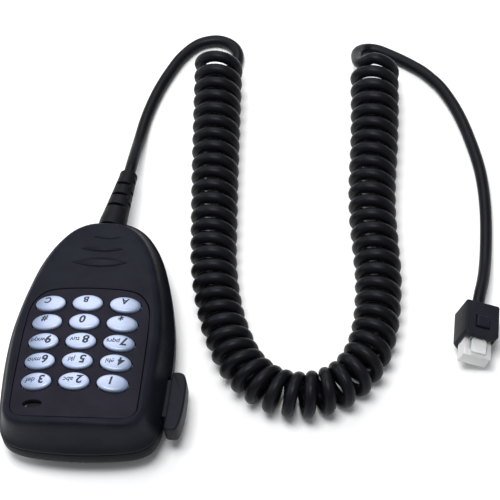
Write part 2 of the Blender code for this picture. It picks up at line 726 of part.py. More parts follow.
def plug_boot(frame):
    """The moulded boot over the plug's back half."""
    low = (-BOOT_HALF_X, BOOT_FRONT, BOOT_BOTTOM)
    boot = box("plug_boot", low, (BOOT_HALF_X, BOOT_BACK, BOOT_TOP), "rubber", frame)
    bevel(boot, 0.8, 2)
    cut(boot, box("cut_boot_socket", (-6.2, 5.0, -4.4), (6.2, 18.0, 5.9), None, frame))
    cut(boot, box("cut_boot_button", (-3.0, 10.8, 4.0), (3.0, 16.6, 9.0), None, frame))
    button = box("boot_button", (-2.6, 11.2, 5.75), (2.6, 16.2, BOOT_TOP + 1.1), "rubber", frame)
    bevel(button, 0.35, 1)


def modular_plug(frame):
    """The clear plug body, its flexible latch and its eight contacts."""
    low = (-PLUG_HALF_X, 0.0, PLUG_BOTTOM)
    plug = box("modular_plug", low, (PLUG_HALF_X, PLUG_LONG, PLUG_TOP), "clear_plastic", frame)
    bevel(plug, 0.25, 1)
    first = -CONTACT_PITCH * (CONTACTS - 1) / 2
    slots = []
    for number in range(CONTACTS):
        x = first + CONTACT_PITCH * number
        slots.append(("box", ((x - 0.31, 0.7, -6.0), (x + 0.31, 7.0, -1.9))))
        contact_low = (x - 0.15, 1.0, PLUG_BOTTOM + 0.2)
        box(f"contact_{number + 1}", contact_low, (x + 0.15, 6.6, -2.1), "brass", frame)
    cutter = merged("cut_contact_slots", slots)
    cutter.parent = frame
    cut(plug, cutter)


def plug_latch(frame):
    """The springy latch: a tapering arm that rises from the nose back into the boot."""
    hinge_y, hinge_z = LATCH_HINGE
    hinge = frame_empty("plug_latch_hinge", (0.0, hinge_y, hinge_z))
    hinge.parent = frame
    sections = ((0.0, 3.0, -0.4), (5.5, 3.0, 0.2), (6.3, 1.7, 0.3), (LATCH_TIP_Y - hinge_y, 1.6, 1.25))
    rings = []
    for along, half, lift in sections:
        top = lift + LATCH_THICK
        rings.append([(-half, along, lift), (half, along, lift), (half, along, top), (-half, along, top)])
    place("plug_latch", loft("plug_latch", rings), "clear_plastic", hinge)


def build():
    """Make the whole hand microphone."""
    empty_scene()
    make_materials()
    slot = side_slot()
    hole = relief_hole()
    front_case(slot, hole)
    rear_case(slot, hole)
    case_screws()
    hanger_stud()
    keypad = frame_empty("keypad_frame", (0.0, KEYPAD_Y, FACE_Z), (-FACE_TILT, 0.0, 0.0))
    keypad_panel(keypad)
    keys(keypad)
    keypad_mat(keypad)
    circuit_board(keypad)
    microphone(keypad)
    talk_lever()
    talk_switch()
    strain_relief()
    cords()
    plug = frame_empty("plug_frame", PLUG_AT, (0.0, PLUG_ROLL, 0.0))
    plug_boot(plug)
    modular_plug(plug)
    plug_latch(plug)


build()
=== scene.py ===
"""The looks of a hand microphone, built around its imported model.

The scene is in metres, in the model's own frame: the handset lies face up on its stud, the
surface is z = 0, +Y points to the cord end and +X to the talk lever.  Dimensions are written
in millimetres, and each mesh is scaled by MM when it is made.
"""

import json
import math

import bmesh
import bpy
from mathutils import Matrix, Quaternion, Vector

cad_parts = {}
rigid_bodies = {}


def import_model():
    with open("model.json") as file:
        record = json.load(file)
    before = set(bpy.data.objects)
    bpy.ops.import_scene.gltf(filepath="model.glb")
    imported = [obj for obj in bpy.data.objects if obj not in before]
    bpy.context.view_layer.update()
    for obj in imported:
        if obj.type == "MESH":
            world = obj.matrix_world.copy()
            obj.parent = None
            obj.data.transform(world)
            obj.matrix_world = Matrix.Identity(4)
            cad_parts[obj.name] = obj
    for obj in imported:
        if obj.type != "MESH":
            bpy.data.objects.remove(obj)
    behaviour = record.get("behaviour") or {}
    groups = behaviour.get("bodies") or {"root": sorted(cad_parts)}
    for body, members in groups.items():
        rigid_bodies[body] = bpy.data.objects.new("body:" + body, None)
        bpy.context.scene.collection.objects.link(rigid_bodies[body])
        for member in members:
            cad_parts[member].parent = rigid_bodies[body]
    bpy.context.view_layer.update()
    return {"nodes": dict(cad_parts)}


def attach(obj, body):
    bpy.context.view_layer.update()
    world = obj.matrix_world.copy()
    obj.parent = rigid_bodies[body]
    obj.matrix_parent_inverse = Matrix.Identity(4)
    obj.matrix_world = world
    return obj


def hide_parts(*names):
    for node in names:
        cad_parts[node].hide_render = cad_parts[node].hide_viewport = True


for old in list(bpy.data.objects):
    bpy.data.objects.remove(old, do_unlink=True)
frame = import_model()

MM = 0.001
GAP = 0.3

# Housing
SEAM_Z = 14.0
WALL = 2.0
REAR_FACE_Z = 5.0
HALF_OUTLINE = (
    (0.0, -50.0), (14.0, -49.3), (24.2, -47.5), (29.9, -43.8), (32.5, -36.2),
    (33.6, -24.0), (34.0, -10.0), (33.5, 3.0), (31.9, 14.0), (29.4, 25.5),
    (25.9, 37.4), (21.1, 47.3), (15.2, 54.5), (8.2, 58.4), (0.0, 59.4),
)
OUTLINE_POINTS = 240
SPINE_NEAR_Y = -24.0
SPINE_FAR_Y = 26.0
SHOULDER = 6.8
FRONT_PROFILE = (
    (0.0, 0.06), (1.5, 0.24), (2.8, 0.5), (3.6, 0.74), (4.2, 0.88), (5.1, 0.965), (SHOULDER, 1.0),
)
REAR_PROFILE = ((0.0, 9.0), (0.25, 8.0), (1.0, 6.7), (2.3, 5.6), (4.6, REAR_FACE_Z))

# Face and keypad
KEYPAD_Y = -7.5
FACE_Z = 31.0
FACE_TILT = math.radians(5.0)
CROWN_ACROSS = 0.004
CROWN_ALONG = 0.001
KEYPAD = Matrix.Translation((0.0, KEYPAD_Y, FACE_Z)) @ Matrix.Rotation(-FACE_TILT, 4, "X")
PANEL_HALF_OUTLINE = (
    (0.0, -35.6), (15.0, -35.1), (21.6, -34.2), (24.4, -31.8), (25.1, -28.0), (25.2, -12.0),
    (24.9, 8.0), (23.8, 18.0), (20.5, 23.5), (15.0, 25.8), (0.0, 26.2),
)
PANEL_THICK = 1.6
KEY_PITCH_X = 15.2
KEY_PITCH_Y = 9.5
KEY_HALF = (6.1, 3.8)
KEY_STEM_HALF = (2.4, 1.9)
KEY_STEM_Z = -6.0
KEYS_AT = (-0.6, -0.7)
KEY_ROWS = (("3", "2", "1"), ("6", "5", "4"), ("9", "8", "7"), ("hash", "0", "star"), ("c", "b", "a"))
LEGENDS = {
    "1": ("1", ""), "2": ("2", "abc"), "3": ("3", "def"), "4": ("4", "ghi"), "5": ("5", "jkl"),
    "6": ("6", "mno"), "7": ("7", "pqrs"), "8": ("8", "tuv"), "9": ("9", "wxyz"), "0": ("0", ""),
    "star": ("*", ""), "hash": ("#", ""), "a": ("A", ""), "b": ("B", ""), "c": ("C", ""),
}
# Heights between which painted shade darkens the case's walls: full below the first, none above the second
PAINTED_SHADE_FULL_Z = 12.0
PAINTED_SHADE_END_Z = 21.0
SIGN_SHIFT = {"#": 0.9, "A": 0.0, "B": 0.4, "C": 0.9}
MIC_AT = (-16.1, -29.4)
MIC_SLOT_HALF = (3.9, 1.7)

# Talk lever
PIVOT = (27.0, -18.5)
LEVER_PLAN = (
    (34.8, -13.7), (36.1, -12.9), (38.2, -13.0), (39.8, -14.1), (40.7, -17.0), (41.0, -22.0),
    (40.8, -29.0), (40.0, -35.0), (38.7, -38.4), (36.6, -38.9), (34.3, -38.5), (33.8, -36.8),
    (34.3, -30.0), (34.4, -22.0),
)
LEVER_TOP = 17.6
LEVER_BOTTOM = 8.0

# Fasteners and stud
CASE_SCREWS = ((-26.5, -6.0), (26.5, -6.0), (-15.0, 37.0), (15.0, 37.0))

# Cord
CORD_R = 2.5
HELIX_R = 7.0
LEG_SWELL = 0.0085      # how much each millimetre along +Y adds to the turns' radius
SWELL_FROM_Y = 20.0
TURN_PITCH = 6.6
POINTS_PER_TURN = 26
RELIEF_START = (1.4, 60.5, SEAM_Z)
RELIEF_TIP = (4.5, 86.0, 11.8)
MIC_LEAD = (
    (4.4, 85.4, 11.9), (4.7, 92.0, 10.5), (4.8, 101.0, 7.2), (5.0, 110.0, 4.0), (5.9, 120.5, 2.6),
    (7.7, 129.5, 2.6), (10.2, 138.4, 2.6), (13.8, 147.6, 2.6), (18.5, 156.8, 2.6),
    (25.0, 163.7, 2.6), (32.4, 166.0, 2.6), (38.3, 164.5, 2.6), (42.2, 160.8, 2.6),
    (43.5, 156.0, 2.6), (42.0, 151.6, 2.6),
)
COIL_ROUTE = (
    (36.6, 148.4), (38.2, 125.0), (39.7, 104.0), (41.3, 83.0), (43.0, 63.0), (44.8, 43.5),
    (48.1, 26.5), (53.3, 10.5), (61.5, -4.9), (73.2, -14.6), (87.0, -17.2), (100.5, -12.4),
    (109.4, -1.0), (113.1, 15.0), (113.1, 36.0), (111.0, 52.5), (108.8, 68.0), (107.6, 84.4),
    (107.2, 104.0), (106.3, 124.0), (105.3, 138.0), (104.9, 148.5),
)
HELIX_END_Y = 144.9
PLUG_LEAD = (
    (96.6, 152.2, 9.2), (96.6, 157.0, 6.6), (98.4, 160.6, 4.0), (101.5, 162.0, 2.7),
    (105.2, 161.3, 2.6), (109.5, 159.3, 2.6), (114.6, 156.6, 2.6), (119.8, 153.5, 2.6),
    (125.0, 149.9, 2.6), (129.5, 145.7, 2.6),
    (133.8, 140.8, 2.6), (139.3, 131.8, 2.6), (143.4, 123.1, 2.6), (146.6, 114.7, 2.6),
    (149.4, 106.4, 2.6), (151.7, 98.2, 2.6), (153.3, 90.0, 2.6), (154.4, 81.8, 2.6),
    (155.2, 72.0, 2.6), (155.6, 60.0, 2.7), (155.6, 50.0, 3.9), (155.2, 41.0, 6.2),
    (154.2, 32.5, 8.2), (153.4, 24.9, 8.7),
)

# Modular plug
PLUG_AT = (153.3, 1.6, 8.7)
PLUG = Matrix.Translation(PLUG_AT) @ Matrix.Rotation(math.radians(24.0), 4, "Y")
LATCH_HINGE = (1.4, 3.3)
CONTACTS = 8
CONTACT_PITCH = 1.02


# ---------------------------------------------------------------- camera, floor and light

def camera():
    """A long lens that looks down on the handset's near end."""
    target = Vector((57.6, 57.0, 0.0)) * MM
    elevation = math.radians(56.0)
    azimuth = math.radians(13.77)
    distance = 0.9533
    level = math.cos(elevation)
    back = Vector((math.sin(azimuth) * level, -math.cos(azimuth) * level, math.sin(elevation)))
    data = bpy.data.cameras.new("camera")
    data.sensor_width = 36.0
    data.lens = 164.33
    data.clip_start = 0.05
    made = bpy.data.objects.new("camera", data)
    made.location = target + back * distance
    made.rotation_mode = "QUATERNION"
    roll = Quaternion((0.0, 0.0, 1.0), math.radians(-10.25))
    made.rotation_quaternion = (-back).to_track_quat("-Z", "Y") @ roll
    bpy.context.scene.collection.objects.link(made)
    bpy.context.scene.camera = made


def softbox(name, at, size, power, target=(0.05, 0.05, 0.0), tint=(1.0, 1.0, 1.0)):
    """A rectangular area light that faces the target."""
    data = bpy.data.lights.new(name, "AREA")
    data.shape = "RECTANGLE"
    data.size, data.size_y = size
    data.energy = power
    data.color = tint
    made = bpy.data.objects.new(name, data)
    made.location = at
    made.rotation_mode = "QUATERNION"
    made.rotation_quaternion = (Vector(target) - Vector(at)).to_track_quat("-Z", "Y")
    bpy.context.scene.collection.objects.link(made)


def studio():
    """A plain pale floor, an even white surround and three soft lights."""
    bpy.context.scene.view_settings.view_transform = "Standard"
    world = bpy.data.worlds.new("studio")
    world.use_nodes = True
    world.node_tree.nodes["Background"].inputs["Color"].default_value = (0.95, 0.97, 1.0, 1.0)
    world.node_tree.nodes["Background"].inputs["Strength"].default_value = 0.34
    bpy.context.scene.world = world
    bm = bmesh.new()
    bmesh.ops.create_grid(bm, x_segments=4, y_segments=4, size=3.0)
    mesh = bpy.data.meshes.new("floor")
    bm.to_mesh(mesh)
    bm.free()
    floor = bpy.data.objects.new("floor", mesh)
    floor.location.z = -0.0001
    material, _, shader = new_material("pale_floor")
    shader.inputs["Base Color"].default_value = (0.93, 0.93, 0.93, 1.0)
    shader.inputs["Roughness"].default_value = 0.9
    shader.inputs["Specular IOR Level"].default_value = 0.1
    mesh.materials.append(material)
    bpy.context.scene.collection.objects.link(floor)
    softbox("far_light", (-0.1, 0.95, 0.95), (1.0, 0.6), 7.0)
    softbox("left_light", (-1.1, 0.3, 0.7), (0.7, 0.9), 5.0, tint=(0.93, 0.96, 1.0))
    softbox("overhead_light", (0.0, -0.05, 1.5), (0.8, 0.6), 19.0)


# ---------------------------------------------------------------- materials

def new_material(name):
    """A material with its node tree and its Principled shader."""
    material = bpy.data.materials.new(name)
    material.use_nodes = True
    return material, material.node_tree, material.node_tree.nodes["Principled BSDF"]


def add_node(tree, kind, settings=None, **inputs):
    """A node with its settings, and with values or sockets on its inputs."""
    made = tree.nodes.new(kind)
    for key, value in (settings or {}).items():
        setattr(made, key, value)
    for key, value in inputs.items():
        socket = made.inputs[key.replace("_", " ")]
        if isinstance(value, bpy.types.NodeSocket):
            tree.links.new(value, socket)
        else:
            socket.default_value = value
    return made


def bumped(tree, shader, height, strength, distance):
    """Fine relief on the surface."""
    bump = add_node(tree, "ShaderNodeBump", Height=height, Strength=strength, Distance=distance)
    tree.links.new(bump.outputs["Normal"], shader.inputs["Normal"])


def own_place(tree):
    """The piece's own coordinates."""
    return add_node(tree, "ShaderNodeTexCoord").outputs["Object"]


def noise(tree, scale, detail=3.0):
    """Noise over the piece's own coordinates, in features per metre."""
    made = add_node(
        tree, "ShaderNodeTexNoise", Vector=own_place(tree), Scale=scale, Detail=detail, Roughness=0.55,
    )
    return made.outputs["Fac"]


def ramp(tree, source, stops):
    """A colour ramp from (position, colour) stops."""
    made = add_node(tree, "ShaderNodeValToRGB", Fac=source)
    elements = made.color_ramp.elements
    while len(elements) < len(stops):
        elements.new(0.5)
    for element, (position, colour) in zip(elements, stops):
        element.position = position
        element.color = (*colour, 1.0)
    return made.outputs["Color"]


def spread(tree, source, low, high):
    """A factor stretched to run between two values."""
    limits = {"From_Min": 0.3, "From_Max": 0.7, "To_Min": low, "To_Max": high}
    made = add_node(tree, "ShaderNodeMapRange", Value=source, **limits)
    return made.outputs["Result"]


def tinted(colour, factor):
    """The colour made lighter or darker."""
    return tuple(channel * factor for channel in colour)


def grained(name, colour, roughness, grain=3500.0, depth=0.00002, mottle=0.18, specular=0.5, metallic=0.0):
    """A moulded or machined surface: mottled colour, uneven gloss and a fine grain."""
    material, tree, shader = new_material(name)
    cloud = noise(tree, 90.0)
    low = tinted(colour, 1.0 - mottle)
    high = tinted(colour, 1.0 + mottle)
    tree.links.new(ramp(tree, cloud, ((0.35, low), (0.65, high))), shader.inputs["Base Color"])
    gloss = spread(tree, noise(tree, 700.0), roughness - 0.05, roughness + 0.05)
    tree.links.new(gloss, shader.inputs["Roughness"])
    bumped(tree, shader, noise(tree, grain, 4.0), 0.5, depth)
    shader.inputs["Specular IOR Level"].default_value = specular
    shader.inputs["Specular Tint"].default_value = (0.86, 0.88, 1.0, 1.0)
    shader.inputs["Metallic"].default_value = metallic
    return material


def case_plastic(colour, roughness, specular):
    """The case's plastic, with painted shade that darkens its colour down its walls."""
    material = grained("case_plastic", colour, roughness, 3200.0, 0.00003, specular=specular)
    tree = material.node_tree
    base = next(node for node in tree.nodes if node.type == "BSDF_PRINCIPLED").inputs["Base Color"]
    mottled = base.links[0].from_socket
    height = add_node(tree, "ShaderNodeSeparateXYZ", Vector=own_place(tree)).outputs["Z"]
    # Painted shade: the base colour is scaled down to 0.3 low on the walls and back to full higher up
    depth = add_node(tree, "ShaderNodeMapRange")
    depth.inputs["From Min"].default_value = PAINTED_SHADE_FULL_Z * MM
    depth.inputs["From Max"].default_value = PAINTED_SHADE_END_Z * MM
    depth.inputs["To Min"].default_value = 0.3
    tree.links.new(height, depth.inputs["Value"])
    scaled = add_node(tree, "ShaderNodeVectorMath")
    scaled.operation = "SCALE"
    tree.links.new(mottled, scaled.inputs[0])
    tree.links.new(depth.outputs["Result"], scaled.inputs["Scale"])
    tree.links.new(scaled.outputs[0], base)
    return material


def key_plastic():
    """Pale translucent plastic, with painted shade that darkens it down its sides."""
    material, tree, shader = new_material("key_plastic")
    height = add_node(tree, "ShaderNodeTexCoord").outputs["Generated"]
    split = add_node(tree, "ShaderNodeSeparateXYZ", Vector=height).outputs["Z"]
    # Painted shade: the colour darkens from the top of the dome down its sides
    stops = (
        (0.80, (0.15, 0.20, 0.30)), (0.90, (0.28, 0.34, 0.48)), (0.955, (0.38, 0.44, 0.61)),
        (1.0, (0.40, 0.465, 0.64)),
    )
    painted_side_shade = ramp(tree, split, stops)
    cloud = ramp(tree, noise(tree, 260.0), ((0.3, (0.965, 0.97, 0.98)), (0.7, (1.0, 1.0, 1.0))))
    mixed = add_node(tree, "ShaderNodeMix", {"data_type": "RGBA", "blend_type": "MULTIPLY"})
    mixed.inputs["Factor"].default_value = 1.0
    tree.links.new(painted_side_shade, mixed.inputs[6])
    tree.links.new(cloud, mixed.inputs[7])
    tree.links.new(mixed.outputs[2], shader.inputs["Base Color"])
    tree.links.new(spread(tree, noise(tree, 900.0), 0.30, 0.40), shader.inputs["Roughness"])
    shader.inputs["Subsurface Weight"].default_value = 0.12
    shader.inputs["Subsurface Radius"].default_value = (0.0012, 0.0014, 0.0016)
    shader.inputs["Coat Weight"].default_value = 0.25
    shader.inputs["Coat Roughness"].default_value = 0.2
    bumped(tree, shader, noise(tree, 2500.0), 0.3, 0.00001)
    return material


def clear_plastic():
    """Moulded polycarbonate, milky rather than clear, with faint flow marks."""
    material, tree, shader = new_material("clear_plastic")
    flow = noise(tree, 350.0)
    stops = ((0.3, (0.96, 0.98, 0.98)), (0.7, (1.0, 1.0, 1.0)))
    tree.links.new(ramp(tree, flow, stops), shader.inputs["Base Color"])
    tree.links.new(spread(tree, noise(tree, 500.0), 0.03, 0.12), shader.inputs["Roughness"])
    shader.inputs["Transmission Weight"].default_value = 0.55
    shader.inputs["IOR"].default_value = 1.5
    bumped(tree, shader, flow, 0.35, 0.0001)
    return material


def brushed_metal(name, colour, roughness):
    """Metal with fine turned or rolled lines."""
    material, tree, shader = new_material(name)
    stretched = add_node(tree, "ShaderNodeMapping", Vector=own_place(tree), Scale=(400.0, 400.0, 9000.0))
    lines = add_node(tree, "ShaderNodeTexNoise", Vector=stretched.outputs["Vector"], Scale=1.0, Detail=3.0)
    tone = ramp(tree, lines.outputs["Fac"], ((0.3, tinted(colour, 0.82)), (0.7, colour)))
    tree.links.new(tone, shader.inputs["Base Color"])
    gloss = spread(tree, lines.outputs["Fac"], roughness - 0.06, roughness + 0.08)
    tree.links.new(gloss, shader.inputs["Roughness"])
    shader.inputs["Metallic"].default_value = 1.0
    bumped(tree, shader, lines.outputs["Fac"], 0.3, 0.00001)
    return material


def board_laminate():
    """Green solder mask with a faint pattern of tracks under it."""
    material, tree, shader = new_material("board_laminate")
    tracks = add_node(
        tree, "ShaderNodeTexBrick", Vector=own_place(tree), Scale=260.0, Mortar_Size=0.09,
        Color1=(0.015, 0.16, 0.06, 1.0), Color2=(0.012, 0.13, 0.05, 1.0), Mortar=(0.04, 0.30, 0.12, 1.0),
    )
    tree.links.new(tracks.outputs["Color"], shader.inputs["Base Color"])
    tree.links.new(spread(tree, noise(tree, 800.0), 0.3, 0.4), shader.inputs["Roughness"])
    bumped(tree, shader, tracks.outputs["Fac"], 0.5, 0.00003)
    return material


def woven_mesh():
    """The dark dust mesh behind the microphone's slot."""
    material, tree, shader = new_material("woven_mesh")
    weave = add_node(tree, "ShaderNodeMath", {"operation": "MULTIPLY"})
    for socket, direction in zip(weave.inputs, "XY"):
        kind = {"wave_type": "BANDS", "bands_direction": direction}
        threads = add_node(tree, "ShaderNodeTexWave", kind, Vector=own_place(tree), Scale=700.0)
        tree.links.new(threads.outputs["Fac"], socket)
    tone = ramp(tree, weave.outputs[0], ((0.2, (0.001, 0.001, 0.0015)), (0.8, (0.008, 0.008, 0.010))))
    tree.links.new(tone, shader.inputs["Base Color"])
    shader.inputs["Roughness"].default_value = 0.8
    bumped(tree, shader, weave.outputs[0], 0.8, 0.0002)
    return material


def make_materials():
    """Every material by name."""
    return {
        "case": case_plastic((0.0082, 0.0090, 0.0140), 0.46, 0.072),
        "panel": grained("panel_plastic", (0.0110, 0.0100, 0.0165), 0.55, 4200.0, 0.00004, specular=0.09),
        "lever": grained("lever_plastic", (0.0095, 0.0088, 0.0140), 0.48, 3200.0, 0.00003, specular=0.10),
        "rubber": grained("soft_rubber", (0.0065, 0.0065, 0.0085), 0.52, 2600.0, 0.00003, specular=0.12),
        "jacket": grained("cord_jacket", (0.0050, 0.0050, 0.0068), 0.40, 1800.0, 0.00002, specular=0.12),
        "boot": grained("boot_plastic", (0.0105, 0.0108, 0.0150), 0.50, 3000.0, 0.00003, specular=0.12),
        "ink": grained("legend_ink", (0.010, 0.014, 0.030), 0.60, 5000.0, 0.00001),
        "silicone": grained("mat_silicone", (0.45, 0.45, 0.43), 0.55, 1500.0, 0.00003),
        "epoxy": grained("chip_epoxy", (0.018, 0.018, 0.018), 0.60, 6000.0, 0.00002),
        "nylon": grained("connector_nylon", (0.66, 0.62, 0.52), 0.45, 2400.0, 0.00001),
        "key": key_plastic(),
        "clear": clear_plastic(),
        "steel": brushed_metal("plated_steel", (0.62, 0.62, 0.61), 0.28),
        "gold": brushed_metal("gold_flash", (0.83, 0.60, 0.24), 0.22),
        "board": board_laminate(),
        "mesh": woven_mesh(),
    }


# ---------------------------------------------------------------- curves and meshes

def between(a, b, c, d, t):
    """The point at t on the smooth curve from b to c, which passes a before them and d after them."""
    return 0.5 * (2 * b + (c - a) * t + (2 * a - 5 * b + 4 * c - d) * t * t
                  + (3 * b - a - 3 * c + d) * t ** 3)


def lengths_along(points):
    """The length of the path up to each of its points."""
    lengths = [0.0]
    for start, end in zip(points, points[1:]):
        lengths.append(lengths[-1] + (end - start).length)
    return lengths


def smooth_points(route, spacing, closed=False):
    """Points along a Catmull-Rom curve through the route, about one spacing apart."""
    points = [Vector(point) for point in route]
    last = len(points) if closed else len(points) - 1
    result = []
    for i in range(last):
        if closed:
            a, b, c, d = (points[(i + k) % len(points)] for k in (-1, 0, 1, 2))
        else:
            a, b, c, d = (points[min(max(i + k, 0), last)] for k in (-1, 0, 1, 2))
        steps = max(1, round((c - b).length / spacing))
        result += [between(a, b, c, d, step / steps) for step in range(steps)]
    if not closed:
        result.append(points[-1])
    return result


def mirrored(half):
    """The whole closed outline of a shape given by its right half."""
    left = [(-x, y) for x, y in reversed(half[1:-1])]
    return [(x, y, 0.0) for x, y in list(half) + left]


def evenly(points, count):
    """A closed outline's points, spread evenly along its length."""
    closed = points + [points[0]]
    lengths = lengths_along(closed)
    result = []
    index = 0
    for k in range(count):
        target = lengths[-1] * k / count
        while lengths[index + 1] < target:
            index += 1
        share = (target - lengths[index]) / (lengths[index + 1] - lengths[index])
        result.append(closed[index].lerp(closed[index + 1], share))
    return result


def rounded(corners, steps=5):
    """A closed outline whose corners, each (x, y, radius), are rounded off."""
    result = []
    for i, (x, y, radius) in enumerate(corners):
        here = Vector((x, y, 0.0))
        before = Vector((*corners[i - 1][:2], 0.0))
        after = Vector((*corners[(i + 1) % len(corners)][:2], 0.0))
        start = here + (before - here).normalized() * radius
        end = here + (after - here).normalized() * radius
        for step in range(steps + 1):
            t = step / steps
            result.append(start.lerp(here, t).lerp(here.lerp(end, t), t))
    return result


def offset(outline, distance):
    """An outline that runs counterclockwise, moved outwards, or inwards if negative."""
    result = []
    for i, point in enumerate(outline):
        along = outline[(i + 1) % len(outline)] - outline[i - 1]
        away = Vector((along.y, -along.x, 0.0))
        if away.length:
            away.normalize()
        result.append(point + away * distance)
    return result


def skin(rings, closed=False, caps=True):
    """A mesh over rings of equal length; collapsed rings close it, and caps fill the others."""
    bm = bmesh.new()
    rows = [[bm.verts.new(point) for point in ring] for ring in rings]
    pairs = list(zip(rows, rows[1:]))
    if closed:
        pairs.append((rows[-1], rows[0]))
    for lower, upper in pairs:
        for i, vertex in enumerate(lower):
            j = (i + 1) % len(lower)
            bm.faces.new((vertex, lower[j], upper[j], upper[i]))
    if caps and not closed:
        bm.faces.new(list(reversed(rows[0])))
        bm.faces.new(rows[-1])
    bmesh.ops.remove_doubles(bm, verts=bm.verts, dist=0.002)
    return bm


def mesh_from(bm, name, smooth_angle=38.0):
    """Turn a bmesh in millimetres into a smooth mesh in metres with its faces pointing out."""
    bmesh.ops.scale(bm, vec=(MM, MM, MM), verts=bm.verts)
    bmesh.ops.recalc_face_normals(bm, faces=bm.faces)
    mesh = bpy.data.meshes.new(name)
    bm.to_mesh(mesh)
    bm.free()
    mesh.shade_smooth()
    mesh.set_sharp_from_angle(angle=math.radians(smooth_angle))
    return mesh


def in_metres(matrix):
    """A placement written in millimetres, for objects in metres."""
    made = matrix.copy()
    made.translation = made.translation * MM
    return made


def add(name, data, material, matrix=None):
    """Link a mesh or curve under a name, with its material and placement."""
    made = bpy.data.objects.new(name, data)
    if material is not None:
        data.materials.append(material)
    bpy.context.scene.collection.objects.link(made)
    if matrix is not None:
        made.matrix_world = in_metres(matrix)
    return made


def shaped(name, bm, material, matrix=None, smooth_angle=38.0):
    """Add a bmesh written in millimetres."""
    return add(name, mesh_from(bm, name, smooth_angle), material, matrix)


def cutter(bm, matrix=None):
    """A helper that is cut away from a piece, or joined to it."""
    return shaped("cutter", bm, None, matrix)


def settle(piece, body, slot, *nodes):
    """Let the piece ride on its body in place of the model's nodes."""
    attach(piece, body)
    if nodes:
        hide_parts(*nodes)
    return piece


def carve(thing, cutters, joins=(), smooth_angle=38.0):
    """Join helpers to the piece, cut the cutters away, and keep the resulting mesh."""
    for kind, helpers in (("UNION", joins), ("DIFFERENCE", cutters)):
        for helper in helpers:
            modifier = thing.modifiers.new("Boolean", "BOOLEAN")
            modifier.operation = kind
            modifier.solver = "EXACT"
            modifier.object = helper
    bpy.context.view_layer.update()
    evaluated = thing.evaluated_get(bpy.context.evaluated_depsgraph_get())
    mesh = bpy.data.meshes.new_from_object(evaluated)
    thing.modifiers.clear()
    thing.data = mesh
    mesh.shade_smooth()
    mesh.set_sharp_from_angle(angle=math.radians(smooth_angle))
    for helper in (*cutters, *joins):
        bpy.data.objects.remove(helper, do_unlink=True)
    return thing


def box_cutter(low, high, matrix=None):
    """A box to cut with, between two corners."""
    bm = bmesh.new()
    bmesh.ops.create_cube(bm, size=1.0)
    bmesh.ops.scale(bm, vec=[high[i] - low[i] for i in range(3)], verts=bm.verts)
    bmesh.ops.translate(bm, vec=[(high[i] + low[i]) / 2 for i in range(3)], verts=bm.verts)
    return cutter(bm, matrix)


def round_cutter(radius, low, high, at=(0.0, 0.0), matrix=None, sides=48):
    """An upright cylinder to cut with."""
    return cutter(skin([turned_ring(radius, z, sides, at) for z in (low, high)]), matrix)


def turned_ring(radius, z, sides, at=(0.0, 0.0)):
    """A level ring of points."""
    turns = [2 * math.pi * k / sides for k in range(sides)]
    return [(at[0] + radius * math.cos(turn), at[1] + radius * math.sin(turn), z) for turn in turns]


def turned(profile, sides=64):
    """A profile of (radius, z), from one end on the axis to the other, turned round Z."""
    return skin([turned_ring(radius, z, sides) for radius, z in profile], caps=False)


def slab(corners, layers, steps=5):
    """Rings of a counterclockwise shape with rounded corners at each (inset, z) layer."""
    rings = []
    for inset, z in layers:
        moved = []
        for i, (x, y, radius) in enumerate(corners):
            here = Vector((x, y))
            before = (here - Vector(corners[i - 1][:2])).normalized()
            after = (Vector(corners[(i + 1) % len(corners)][:2]) - here).normalized()
            inner = Vector((-before.y - after.y, before.x + after.x)) * inset / (1.0 + before.dot(after))
            moved.append((*(here + inner), max(radius - 0.6 * inset, 0.1)))
        rings.append([(p.x, p.y, z) for p in rounded(moved, steps)])
    return rings


def stacked(outline, layers):
    """Rings of one outline at each (inset, z) layer."""
    return [[(p.x, p.y, z) for p in offset(outline, -inset)] for inset, z in layers]


# ---------------------------------------------------------------- cord

def helix_points():
    """The curly stretch: turns that hug the coil's route, opened out at both ends."""
    centre = smooth_points([(x, y, 0.0) for x, y in COIL_ROUTE], 0.4)
    while centre[-1].y > HELIX_END_Y and centre[-1].x > 100.0:
        centre.pop()
    lengths = lengths_along(centre)
    turns = [0.0]
    for s0, s1 in zip(lengths, lengths[1:]):
        pitch = TURN_PITCH + 0.9 * math.exp(-s0 / 9.0) + 0.3 * math.exp((s0 - lengths[-1]) / 12.0)
        turns.append(turns[-1] + (s1 - s0) / pitch)
    whole = math.floor(turns[-1]) + 0.5
    stretch = whole / turns[-1]
    turns = [turn * stretch for turn in turns]
    result = []
    index = 0
    for k in range(int(whole * POINTS_PER_TURN) + 1):
        turn = k / POINTS_PER_TURN
        while index < len(turns) - 2 and turns[index + 1] < turn:
            index += 1
        share = min(1.0, (turn - turns[index]) / (turns[index + 1] - turns[index]))
        middle = centre[index].lerp(centre[index + 1], share)
        ahead = (centre[min(index + 3, len(centre) - 1)] - centre[max(index - 2, 0)]).normalized()
        side = Vector((0.0, 0.0, 1.0)).cross(ahead)
        angle = -math.pi / 2 - 2 * math.pi * turn
        radius = HELIX_R + LEG_SWELL * max(0.0, middle.y - SWELL_FROM_Y)
        up = Vector((0.0, 0.0, CORD_R + 0.05 + radius * (1.0 + math.sin(angle))))
        result.append(middle + radius * side * math.cos(angle) + up)
    return result


def cord_points():
    """The whole cord's centreline, from the strain relief to the plug's boot."""
    helix = helix_points()
    lead = list(MIC_LEAD[:-1]) + [(42.0, 150.6, 2.6)]
    start = smooth_points(lead + [helix[0], helix[3]], 1.6)
    start = start[:min(range(len(start)), key=lambda i: (start[i] - helix[0]).length)]
    opening = [helix[-4], helix[-1], Vector((99.0, 145.2, 14.3))]
    end = smooth_points(opening + list(PLUG_LEAD), 1.6)
    end = end[min(range(len(end)), key=lambda i: (end[i] - helix[-1]).length) + 1:]
    return start + helix + end


